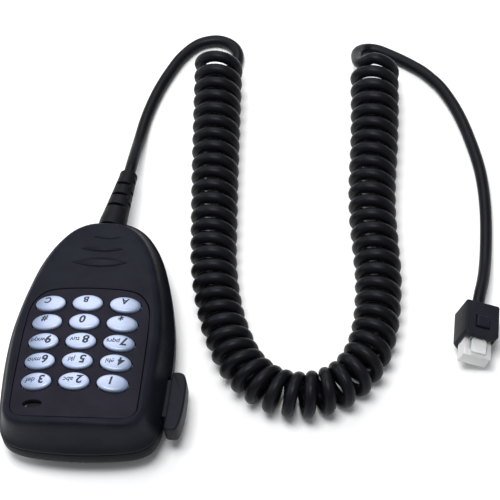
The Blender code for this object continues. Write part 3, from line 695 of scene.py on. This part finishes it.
def cord(materials):
    """One cord from end to end, in place of the model's three cord pieces."""
    points = cord_points()
    curve = bpy.data.curves.new("curly_cord", "CURVE")
    curve.dimensions = "3D"
    curve.bevel_depth = CORD_R * MM
    curve.bevel_resolution = 6
    curve.use_fill_caps = True
    spline = curve.splines.new("POLY")
    spline.points.add(len(points) - 1)
    for target, point in zip(spline.points, points):
        target.co = (*(point * MM), 1.0)
    spline.use_smooth = True
    made = add("curly_cord", curve, materials["jacket"])
    settle(made, "housing", "cord_jacket", "cord_lead_mic", "cord_coil", "cord_lead_plug")


def strain_relief(materials):
    """The tapering sleeve, slotted in turn on its top and bottom and on its sides."""
    profile = (
        (0.0, -4.5), (5.75, -4.5), (5.75, -0.5), (5.55, 1.0), (5.3, 3.5), (4.95, 8.0), (4.5, 14.0),
        (4.05, 20.0), (3.8, 23.2), (3.75, 24.0), (3.9, 24.6), (3.75, 25.3), (3.2, 25.6), (0.0, 25.6),
    )
    start = Vector(RELIEF_START)
    along = (Vector(RELIEF_TIP) - start).normalized()
    across = along.cross(Vector((0.0, 0.0, 1.0))).normalized()
    up = across.cross(along)
    matrix = Matrix.Identity(4)
    for column, axis in enumerate((across, up, along)):
        for row in range(3):
            matrix[row][column] = axis[row]
    matrix.translation = start
    relief = shaped("strain_relief_sleeve", turned(profile), materials["rubber"], matrix)
    carve(relief, [housing_volume(0.2)])
    neck = ((0.0, -9.6), (4.4, -9.6), (4.4, -8.2), (3.5, -8.2), (3.5, 2.0), (0.0, 2.0))
    joins = [cutter(turned(neck), matrix)]
    cutters = []
    for number in range(3):
        radius = 4.95 - 0.45 * number
        low = 4.9 + 6.1 * number
        reach = 0.64 * radius
        for side in (-1, 1):
            near, far = sorted((side * reach, side * 8.0))
            cutters.append(box_cutter((-8.0, near, low), (8.0, far, low + 1.5), matrix))
            cutters.append(box_cutter((near + 0.1, -2.2, low + 3.3), (far + 0.1, 2.2, low + 4.5), matrix))
    carve(relief, cutters, joins)
    settle(relief, "housing", "rubber", "strain_relief")


# ---------------------------------------------------------------- housing

def face_height(x, y):
    """Height of the face above the surface."""
    along = y - KEYPAD_Y
    return FACE_Z - math.tan(FACE_TILT) * along - CROWN_ACROSS * x * x - CROWN_ALONG * along * along


def crown(x, along):
    """Height of the crowned face over the keypad's plane, zero at its middle and negative around it."""
    return -CROWN_ACROSS * x * x - CROWN_ALONG * along * along


def inward(point, inset, share=0.0):
    """A point of the outline moved towards the housing's long middle line."""
    spine = Vector((0.0, min(max(point.y, SPINE_NEAR_Y), SPINE_FAR_Y), 0.0))
    moved = point.lerp(spine, inset / (spine - point).length)
    return moved.lerp(spine, share)


def housing_outline():
    """The housing's plan outline at the seam."""
    return evenly(smooth_points(mirrored(HALF_OUTLINE), 0.5, closed=True), OUTLINE_POINTS)


def panel_outline(grow=0.0):
    """The keypad panel's plan outline in world x and y."""
    outline = evenly(smooth_points(mirrored(PANEL_HALF_OUTLINE), 0.5, closed=True), OUTLINE_POINTS)
    cosine = math.cos(FACE_TILT)
    return [Vector((p.x, KEYPAD_Y + p.y * cosine, 0.0)) for p in offset(outline, grow)]


def finer(profile, steps=4):
    """A profile's points with a smooth curve through them."""
    points = [Vector((a, b * 10.0, 0.0)) for a, b in profile]
    smooth = []
    for i in range(len(points) - 1):
        a, b, c, d = (points[min(max(i + k, 0), len(points) - 1)] for k in (-1, 0, 1, 2))
        smooth += [between(a, b, c, d, step / steps) for step in range(steps)]
    smooth.append(points[-1])
    return [(p.x, p.y / 10.0) for p in smooth]


def lever_slot():
    """The opening in the right-hand wall that the talk lever's web passes through."""
    return box_cutter((28.0, -33.2, 10.9), (37.0, -14.4, 16.3))


def relief_hole():
    """The round opening at the far end for the strain relief's neck."""
    matrix = Matrix.Translation((1.0, 59.0, SEAM_Z)) @ Matrix.Rotation(math.radians(90.0), 4, "X")
    return round_cutter(4.3, -7.0, 7.0, matrix=matrix)


def housing_volume(gap):
    """The outside of both shells with a gap around it, to trim a neighbour to."""
    outline = housing_outline()
    rings = [[(*inward(p, -gap).xy, z) for p in outline] for z in (7.0, SEAM_Z)]
    for inset, rise in finer(FRONT_PROFILE):
        ring = []
        for point in outline:
            x, y, _ = inward(point, inset - gap)
            ring.append((x, y, SEAM_Z + gap / 2 + (face_height(x, y) - SEAM_Z) * rise))
        rings.append(ring)
    return cutter(skin(rings))


def front_case(materials):
    """The upper shell: flared walls, a soft shoulder, a crowned face and the keypad window."""
    outline = housing_outline()
    window = panel_outline(GAP)
    reach = []
    for point in outline:
        gap = min((point - edge).length for edge in window)
        reach.append(min(1.0, (gap - 1.0) / SHOULDER))
    seam = SEAM_Z + GAP / 2
    rings = []

    def wall_ring(inset, rise, inner):
        ring = []
        for point, scale in zip(outline, reach):
            depth = WALL * (1.0 - rise * rise) if inner else 0.0
            x, y, _ = inward(point, inset * scale + depth)
            drop = WALL * rise if inner else 0.0
            ring.append((x, y, seam + (face_height(x, y) - seam) * rise - drop))
        return ring

    def face_ring(share, drop):
        ring = []
        for point, scale, edge in zip(outline, reach, window):
            start = inward(point, SHOULDER * scale)
            x, y, _ = start.lerp(edge, share)
            ring.append((x, y, face_height(x, y) - drop))
        return ring

    def lip_ring(grow, drop):
        return [(x, y, face_height(x, y) - drop) for x, y, _ in offset(window, grow)]

    rings.append([(*inward(p, 0.4).xy, seam) for p in outline])
    rings.append([(*inward(p, 0.12).xy, seam + 0.12) for p in outline])
    rings += [wall_ring(inset, rise, False) for inset, rise in finer(FRONT_PROFILE)]
    rings += [face_ring(step / 10, 0.0) for step in range(1, 10)]
    rings += [lip_ring(0.2, 0.0), lip_ring(0.06, 0.05), lip_ring(0.0, 0.2), lip_ring(0.0, WALL)]
    rings += [face_ring(step / 4, WALL) for step in (3, 2, 1)]
    rings += [wall_ring(inset, rise, True) for inset, rise in reversed(FRONT_PROFILE)]
    rings.append([(*inward(p, WALL).xy, seam) for p in outline])
    case = shaped("front_shell", skin(rings, closed=True), materials["case"])
    carve(case, [lever_slot(), relief_hole()])
    settle(case, "housing", "case_plastic", "front_case")


def rear_case(materials):
    """The lower shell with its rolled bottom edge, four screw wells and a hole for the stud."""
    outline = housing_outline()
    seam = SEAM_Z - GAP / 2

    def ring(inset, z, share=0.0):
        return [(*inward(p, inset, share).xy, z) for p in outline]

    inside = [(inset + WALL, z + WALL * 0.8) for inset, z in reversed(REAR_PROFILE)]
    rings = [ring(4.6 + WALL, REAR_FACE_Z + WALL, share) for share in (1.0, 0.5)]
    rings += [ring(inset, z) for inset, z in inside[1:]]
    rings += [ring(WALL, seam), ring(0.4, seam), ring(0.12, seam - 0.12), ring(0.0, seam - 0.45)]
    rings += [ring(inset, z) for inset, z in finer(REAR_PROFILE)]
    rings += [ring(4.6, REAR_FACE_Z, share) for share in (0.04, 0.3, 0.6, 1.0)]
    case = shaped("rear_shell", skin(rings, caps=False), materials["case"])
    cutters = [lever_slot(), relief_hole()]
    joins = []
    for x, y in CASE_SCREWS:
        joins.append(round_cutter(4.0, REAR_FACE_Z + 1.0, SEAM_Z - 2.0, (x, y)))
        cutters.append(round_cutter(3.1, 3.0, 8.6, (x, y)))
        cutters.append(round_cutter(1.8, 3.0, 16.0, (x, y)))
    cutters.append(round_cutter(1.8, 3.0, 9.0))
    carve(case, cutters, joins)
    settle(case, "housing", "case_plastic", "rear_case")


def eased(t):
    """A smooth step from 0 to 1."""
    t = min(max(t, 0.0), 1.0)
    return t * t * (3.0 - 2.0 * t)


def ridge_rise(t, crest, slit):
    """A ridge's height at t, 0 at its near edge and 1 at its far edge."""
    if t < 0.12:
        return 0.35 * eased(t / 0.12)
    if t < crest:
        return 0.35 + 0.65 * (t - 0.12) / (crest - 0.12)
    if not slit:
        return 1.0 - eased((t - crest) / (1.0 - crest))
    if t < crest + 0.14:
        return 1.0 - 0.96 * eased((t - crest) / 0.14)
    if t < crest + 0.26:
        return 0.04 + 0.32 * eased((t - crest - 0.14) / 0.12)
    return 0.36 * (1.0 - eased((t - crest - 0.26) / (0.74 - crest)))


def ridge(centre, half, near, far, height, slit=False):
    """A raised crescent on the face with pointed ends; a slit runs along the widest one."""
    across = 56
    steps = 36
    crest = near / (near + far)
    rings = []
    for i in range(across + 1):
        s = -1.0 + 2.0 * i / across
        taper = 1.0 - s * s
        x = centre[0] + half * s
        low = centre[1] - near * taper
        high = centre[1] + far * taper
        ring = []
        for j in range(steps + 1):
            t = j / steps
            y = low + (high - low) * t
            rise = height * ridge_rise(t, crest, slit) * taper ** 0.8
            ring.append((x, y, face_height(x, y) + 0.01 + rise))
        for j in range(steps, -1, -1):
            t = j / steps
            y = low + (high - low) * t
            ring.append((x, y, face_height(x, y) - 0.9))
        rings.append(ring)
    return skin(rings)


def face_ridges(materials):
    """The three crescents on the face beyond the keypad; the widest has a slit."""
    places = (
        ((1.9, 46.7), 5.8, 1.3, 0.9, 1.0, False),
        ((0.7, 40.2), 8.9, 1.8, 1.1, 1.35, False),
        ((0.7, 33.0), 11.7, 3.1, 2.3, 1.75, True),
    )
    for number, values in enumerate(places, start=1):
        made = shaped(f"face_ridge_{number}", ridge(*values), materials["case"], smooth_angle=60.0)
        settle(made, "housing", "case_plastic")


# ---------------------------------------------------------------- keypad

def key_places():
    """Each key's name and its place on the keypad."""
    for row, names in enumerate(KEY_ROWS):
        for column, name in enumerate(names):
            x = KEYS_AT[0] + (column - 1) * KEY_PITCH_X
            yield name, x, KEYS_AT[1] + (row - 2) * KEY_PITCH_Y


def oval(at, half, z, sides=56):
    """A ring on the crowned face, raised or lowered by z."""
    ring = []
    for k in range(sides):
        turn = 2 * math.pi * k / sides
        x = at[0] + half[0] * math.cos(turn)
        y = at[1] + half[1] * math.sin(turn)
        ring.append((x, y, crown(x, y) + z))
    return ring


def flared_cutter(at, half):
    """An oval opening whose lip is eased at the face."""
    rings = [oval(at, half, -7.0), oval(at, half, -0.28)]
    for grow, z in ((0.08, -0.1), (0.3, 0.02), (1.3, 1.0)):
        rings.append(oval(at, (half[0] + grow, half[1] + grow), z))
    return cutter(skin(rings), KEYPAD)


def keypad_panel(materials):
    """The inset panel with rounded edges, eased key openings and the microphone's slot."""
    outline = evenly(smooth_points(mirrored(PANEL_HALF_OUTLINE), 0.5, closed=True), OUTLINE_POINTS)

    def ring(inset, drop, share=0.0):
        points = []
        for point in offset(outline, -inset):
            middle = Vector((0.0, min(max(point.y, -16.0), 8.0), 0.0))
            x, y, _ = point.lerp(middle, share)
            points.append((x, y, crown(x, y) - drop))
        return points

    rings = [ring(0.0, PANEL_THICK, share) for share in (1.0, 0.5, 0.0)]
    rings += [ring(0.0, 0.3), ring(0.03, 0.14), ring(0.12, 0.03), ring(0.28, 0.0)]
    rings += [ring(0.28, 0.0, share) for share in (0.12, 0.25, 0.4, 0.55, 0.7, 0.85, 1.0)]
    panel = shaped("keypad_bezel", skin(rings, caps=False), materials["panel"], KEYPAD)
    cutters = []
    for _, x, along in key_places():
        cutters.append(flared_cutter((x, along), (KEY_HALF[0] + 0.38, KEY_HALF[1] + 0.32)))
    cutters.append(flared_cutter(MIC_AT, MIC_SLOT_HALF))
    carve(panel, cutters)
    settle(panel, "housing", "panel_plastic", "keypad_panel")
    halves = []
    for layers in (((0.0, -2.7), (0.6, -2.75), (1.0, -2.9)), ((1.0, -2.9), (0.6, -3.05), (0.0, -3.05))):
        halves.append(skin([oval(MIC_AT, (4.6 * k, 2.4 * k), z) for k, z in layers], caps=False))
    gauze, under = halves
    absorb(gauze, under)
    bmesh.ops.remove_doubles(gauze, verts=gauze.verts, dist=0.002)
    settle(shaped("mic_gauze", gauze, materials["mesh"], KEYPAD), "housing", "silicone")


def absorb(whole, added):
    """Put one bmesh's geometry into another, and free it."""
    spare = bpy.data.meshes.new("spare")
    added.to_mesh(spare)
    added.free()
    whole.from_mesh(spare)
    bpy.data.meshes.remove(spare)


def key_height(u):
    """The cap's height at u, 0 in the middle and 1 at the edge."""
    return 1.4 - 0.12 * u ** 2 - 0.22 * u ** 6 - 0.46 * u ** 16


def keys(materials):
    """Fifteen pillow-shaped oval keys on stems, each with its legend."""
    for name, x, along in key_places():
        half_x, half_y = KEY_HALF
        foot = KEY_STEM_Z - crown(x, along)
        layers = [
            ((0.0, 0.0), foot), (KEY_STEM_HALF, foot), (KEY_STEM_HALF, -1.3),
            ((half_x - 0.3, half_y - 0.3), -1.3), ((half_x, half_y), -1.0),
        ]
        for u in (1.0, 0.992, 0.975, 0.95, 0.91, 0.85, 0.77, 0.66, 0.52, 0.36, 0.18, 0.0):
            layers.append(((half_x * u, half_y * u), key_height(u)))
        bm = skin([oval((x, along), half, z, 64) for half, z in layers], caps=False)
        bmesh.ops.translate(bm, vec=(-x, -along, 0.0), verts=bm.verts)
        matrix = KEYPAD @ Matrix.Translation((x, along, 0.0))
        cap = shaped(f"keycap_{name}", bm, materials["key"], matrix, 50.0)
        settle(cap, f"key_{name}", "key_plastic", f"key_{name}")
        digit, letters = LEGENDS[name]
        legend(name, digit, letters, (x, along), matrix, materials)


def glyphs(text, height, weight):
    """Slanted characters, with digits of the given height and the origin on the baseline."""
    data = bpy.data.curves.new("glyphs", "FONT")
    data.body = text
    data.size = 10.0
    data.shear = 0.15
    data.offset = weight
    data.extrude = 0.01
    data.resolution_u = 4
    data.align_x = "CENTER"
    thing = bpy.data.objects.new("glyphs", data)
    bpy.context.scene.collection.objects.link(thing)
    bpy.context.view_layer.update()
    mesh = bpy.data.meshes.new_from_object(thing.evaluated_get(bpy.context.evaluated_depsgraph_get()))
    bpy.data.objects.remove(thing, do_unlink=True)
    bm = bmesh.new()
    bm.from_mesh(mesh)
    bpy.data.meshes.remove(mesh)
    bm.normal_update()
    hidden = [face for face in bm.faces if face.normal.z < 0.5]
    bmesh.ops.delete(bm, geom=hidden, context="FACES")
    for vertex in bm.verts:
        vertex.co.z = 0.0
    factor = height / 7.3
    bmesh.ops.scale(bm, vec=(factor, factor, factor), verts=bm.verts)
    return bm


def legend(name, digit, letters, at, matrix, materials):
    """The printed characters, turned to be read from the cord end and laid on the key's dome.

    Each part is its text, height, x, baseline and stroke weight.
    """
    if letters:
        parts = ((digit, 3.75, -2.4, -2.15, 0.3), (letters, 2.2, 2.15, -1.15, 0.12))
    elif digit in "01":
        parts = ((digit, 3.6, 0.4, -2.35, 0.3),)
    elif digit == "*":
        parts = ((digit, 3.6, 0.25, -4.5, 0.22),)
    else:
        parts = ((digit, 2.85, SIGN_SHIFT[digit], -2.45, 0.3),)
    whole = bmesh.new()
    for text, height, x, y, weight in parts:
        bm = glyphs(text, height, weight)
        bmesh.ops.translate(bm, vec=(x, y, 0.0), verts=bm.verts)
        absorb(whole, bm)
    bmesh.ops.remove_doubles(whole, verts=whole.verts, dist=0.001)
    bmesh.ops.triangulate(whole, faces=whole.faces)
    for _ in range(4):
        long_edges = [edge for edge in whole.edges if edge.calc_length() > 0.45]
        if not long_edges:
            break
        bmesh.ops.subdivide_edges(whole, edges=long_edges, cuts=1)
        bmesh.ops.triangulate(whole, faces=whole.faces)
    half_x, half_y = KEY_HALF
    for vertex in whole.verts:
        x, y = -vertex.co.x, -vertex.co.y
        u = min(1.0, math.hypot(x / half_x, y / half_y))
        vertex.co = (x, y, crown(at[0] + x, at[1] + y) + key_height(u) + 0.035)
    mesh = mesh_from(whole, f"legend_{name}")
    if sum(polygon.normal.z * polygon.area for polygon in mesh.polygons) < 0:
        mesh.flip_normals()
    made = add(f"legend_{name}", mesh, materials["ink"], matrix)
    solid = made.modifiers.new("Solidify", "SOLIDIFY")
    solid.thickness = 0.06 * MM
    solid.offset = -1.0
    settle(made, f"key_{name}", "panel_plastic")


# ---------------------------------------------------------------- talk lever

def talk_lever(materials):
    """The side bar with a rolled top edge, and the web that carries it on its pivot."""
    outline = evenly(smooth_points([(x, y, 0.0) for x, y in reversed(LEVER_PLAN)], 0.3, closed=True), 120)
    layers = (
        (1.5, LEVER_BOTTOM), (0.6, 8.15), (0.15, 8.6), (0.0, 9.3), (0.0, 14.0), (0.0, 16.7),
        (0.08, 17.1), (0.28, 17.4), (0.6, 17.56), (1.0, LEVER_TOP),
    )
    lever = shaped("talk_bar", skin(stacked(outline, layers)), materials["lever"])
    web = box_cutter((24.5, -32.0, 11.4), (36.5, -15.5, 15.4))
    carve(lever, [round_cutter(1.6, 8.0, 20.0, PIVOT)], [web])
    settle(lever, "talk_lever", "case_plastic", "ptt_lever")


# ---------------------------------------------------------------- fasteners

def screws_and_stud(materials):
    """Cross-head case screws and the turned stud, seen from below."""
    for number, (x, y) in enumerate(CASE_SCREWS, start=1):
        profile = (
            (0.0, 20.2), (1.0, 20.2), (1.4, 19.4), (1.4, 8.3), (2.5, 8.3), (2.68, 8.1), (2.68, 7.5),
            (2.45, 6.95), (1.9, 6.65), (1.0, 6.5), (0.0, 6.5),
        )
        at = Matrix.Translation((x, y, 0.0)) @ Matrix.Rotation(0.4 * number, 4, "Z")
        screw = shaped(f"cross_head_screw_{number}", turned(profile, 40), materials["steel"], at)
        carve(screw, [
            box_cutter((-1.5, -0.28, 5.5), (1.5, 0.28, 7.5), at),
            box_cutter((-0.28, -1.5, 5.5), (0.28, 1.5, 7.5), at),
        ])
        settle(screw, "housing", "steel", f"case_screw_{number}")
    profile = (
        (0.0, 1.2), (1.8, 1.2), (1.8, 4.7), (3.5, 4.7), (3.5, 3.0), (3.7, 2.7), (6.5, 2.6), (6.8, 2.45),
        (7.0, 2.1), (7.0, 0.6), (6.85, 0.2), (6.5, 0.0), (1.5, 0.0), (0.0, 0.0),
    )
    stud = shaped("hang_up_stud", turned(profile, 72), materials["steel"])
    settle(stud, "housing", "steel", "hanger_stud")


# ---------------------------------------------------------------- plug

def plug_boot(materials):
    """The moulded boot: clipped front corners, a socket for the plug and a recess for its button."""
    corners = (
        (-5.6, 6.8, 0.4), (5.6, 6.8, 0.4), (7.1, 8.6, 0.5), (7.1, 22.9, 0.9), (-7.1, 22.9, 0.9),
        (-7.1, 8.6, 0.5),
    )
    layers = (
        (0.7, -6.3), (0.35, -6.15), (0.05, -5.85), (0.0, -5.5), (0.0, 6.4), (0.1, 6.75),
        (0.3, 6.93), (0.6, 7.0),
    )
    boot = shaped("moulded_boot", skin(slab(corners, layers)), materials["boot"], PLUG)
    carve(boot, [
        box_cutter((-6.1, 5.0, -4.3), (6.1, 18.0, 5.4), PLUG),
        box_cutter((-3.0, 10.8, 4.0), (3.0, 16.6, 9.0), PLUG),
    ])
    settle(boot, "housing", "rubber", "plug_boot")
    corners = ((-2.6, 11.2, 0.45), (2.6, 11.2, 0.45), (2.6, 16.2, 0.45), (-2.6, 16.2, 0.45))
    layers = ((0.2, 5.75), (0.0, 5.95), (0.0, 7.55), (0.12, 7.85), (0.35, 8.03), (0.7, 8.1))
    button = shaped("release_pad", skin(slab(corners, layers)), materials["lever"], PLUG)
    settle(button, "release_button", "rubber", "boot_button")
    return [boot, button]


def clear_plug(materials):
    """The plug: a stepped body over eight contacts and eight cores in four colours, and its latch."""
    corners = ((-5.85, 0.0, 0.5), (5.85, 0.0, 0.5), (5.85, 16.5, 0.3), (-5.85, 16.5, 0.3))
    layers = ((0.25, -4.0), (0.0, -3.75), (0.0, 2.3), (0.12, 2.52), (0.3, 2.6))
    body = shaped("clear_body", skin(slab(corners, layers, 3)), materials["clear"], PLUG, 25.0)
    first = -CONTACT_PITCH * (CONTACTS - 1) / 2
    cutters = [box_cutter((-3.5, 2.6, 1.5), (3.5, 8.4, 4.0), PLUG)]
    for number in range(CONTACTS):
        x = first + CONTACT_PITCH * number
        cutters.append(box_cutter((x - 0.31, 0.7, -6.0), (x + 0.31, 7.0, -1.9), PLUG))
    carve(body, cutters, smooth_angle=25.0)
    settle(body, "housing", "clear_plastic", "modular_plug")
    rings = []
    sections = (
        (0.0, 3.0, -0.4), (1.5, 3.05, -0.2), (5.2, 3.05, 0.2), (5.9, 2.5, 0.27), (6.4, 1.7, 0.32),
        (13.6, 1.6, 1.25),
    )
    for along, half, lift in sections:
        flat = half - 0.15
        section = (
            (-flat, 0.0), (flat, 0.0), (half, 0.15), (half, 0.7), (flat, 0.85), (-flat, 0.85),
            (-half, 0.7), (-half, 0.15),
        )
        rings.append([(x, along, lift + z) for x, z in section])
    matrix = PLUG @ Matrix.Translation((0.0, *LATCH_HINGE))
    latch = shaped("latch_arm", skin(rings), materials["clear"], matrix, 25.0)
    settle(latch, "latch_arm", "clear_plastic", "plug_latch")
    pieces = [body, latch]
    cores = (
        ("core_pink", (0.75, 0.30, 0.34)), ("core_green", (0.35, 0.62, 0.30)),
        ("core_blue", (0.25, 0.45, 0.70)), ("core_white", (0.80, 0.80, 0.78)),
    )
    for number, (name, colour) in enumerate(cores):
        bm = bmesh.new()
        for k in (number, number + 4):
            x = first + CONTACT_PITCH * k
            bmesh.ops.create_cone(
                bm, cap_ends=True, segments=16, radius1=0.42, radius2=0.42, depth=11.0,
                matrix=Matrix.Translation((x, 11.6, -0.9)) @ Matrix.Rotation(math.radians(90.0), 4, "X"),
            )
        made = shaped(name, bm, grained(name, colour, 0.45), PLUG)
        settle(made, "housing", "connector_plastic")
        pieces.append(made)
    for number in range(CONTACTS):
        pieces.append(frame["nodes"][f"contact_{number + 1}"])
    return pieces


# ---------------------------------------------------------------- what stays from the model

CARRIED = {
    "keypad_mat": "silicone", "circuit_board": "board", "controller_chip": "epoxy",
    "tone_encoder_chip": "epoxy", "ptt_switch": "epoxy", "crystal": "steel", "backlight_led_1": "nylon",
    "backlight_led_2": "nylon", "cable_header": "nylon", "cable_connector": "nylon",
    "core_bundle": "nylon", "ptt_plunger": "nylon", "board_screw_1": "steel", "board_screw_2": "steel",
    "stud_screw": "steel", "mic_boot": "rubber", "mic_capsule": "steel", "ptt_pivot_pin": "steel",
    "ptt_torsion_spring": "steel",
}


def carried_over(materials):
    """Give the model's own inner pieces their materials."""
    kinds = dict(CARRIED)
    for number in range(CONTACTS):
        kinds[f"contact_{number + 1}"] = "gold"
    for node, kind in kinds.items():
        data = frame["nodes"][node].data
        data.materials.clear()
        data.materials.append(materials[kind])


def build():
    """Make the whole scene."""
    camera()
    materials = make_materials()
    pieces = plug_boot(materials) + clear_plug(materials)
    cord(materials)
    strain_relief(materials)
    front_case(materials)
    rear_case(materials)
    face_ridges(materials)
    keypad_panel(materials)
    keys(materials)
    talk_lever(materials)
    screws_and_stud(materials)
    carried_over(materials)
    studio()


build()
